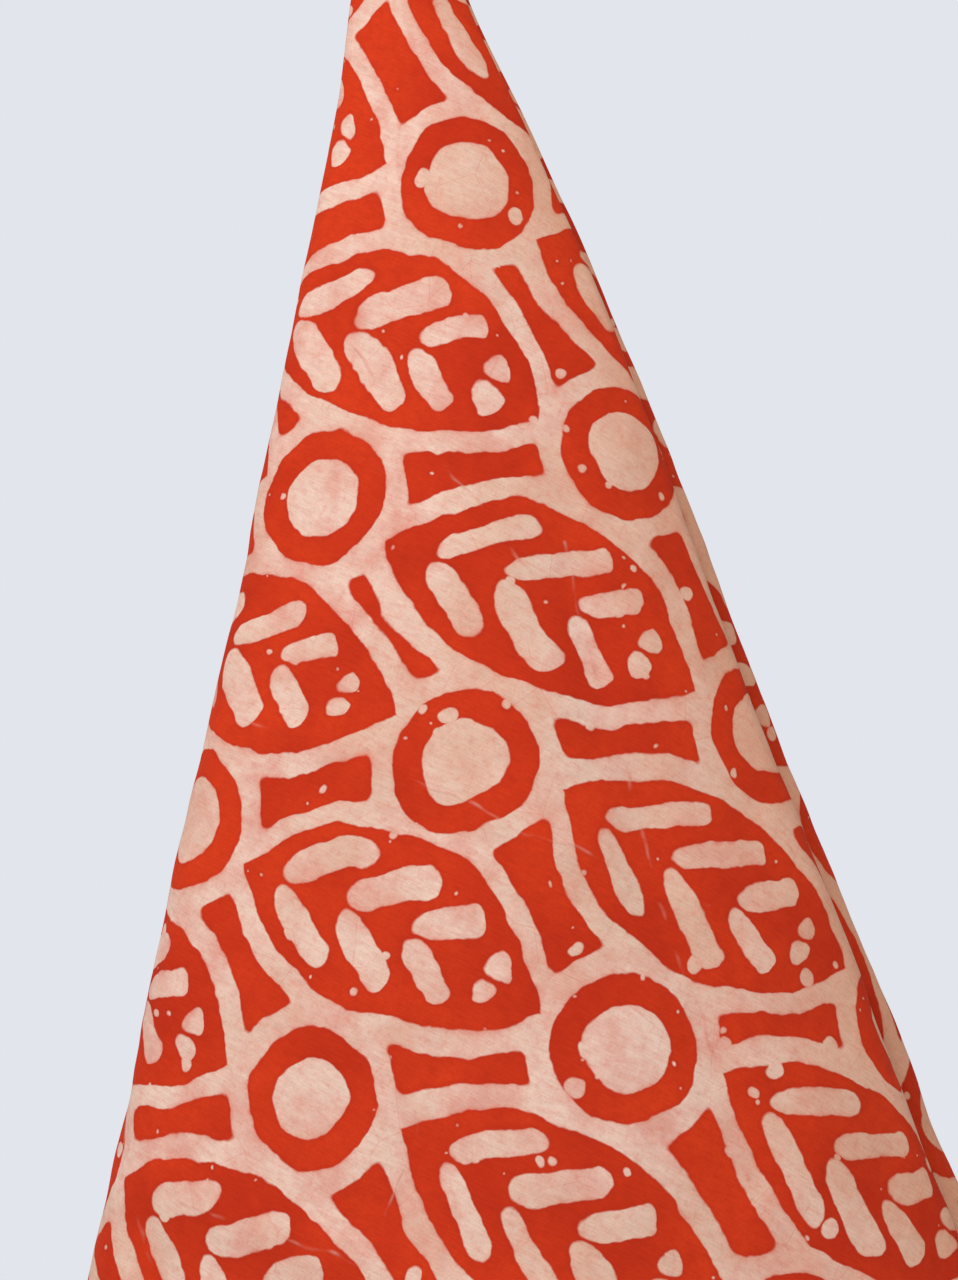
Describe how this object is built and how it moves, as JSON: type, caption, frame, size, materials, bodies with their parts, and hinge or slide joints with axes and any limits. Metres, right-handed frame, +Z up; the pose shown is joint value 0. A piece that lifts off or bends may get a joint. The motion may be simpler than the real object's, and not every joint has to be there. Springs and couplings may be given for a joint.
{
  "type": "length of batik fabric",
  "caption": "Rectangular cotton cloth in red and pale wax-resist dye, hung from one corner so that it wraps round into a tall folded cone, open below.",
  "frame": {"origin": "the corner that the cloth hangs from", "axes": "+Z up, -Y out of the front of the cone towards the viewer, +X to the viewer's right"},
  "size_m": [0.6572, 0.3241, 1.4282],
  "materials": {
    "cloth": "matt plain-weave cotton, dyed red over a pale ground"
  },
  "bodies": {
    "root": {"cloth": "cloth"}
  },
  "joints": []
}
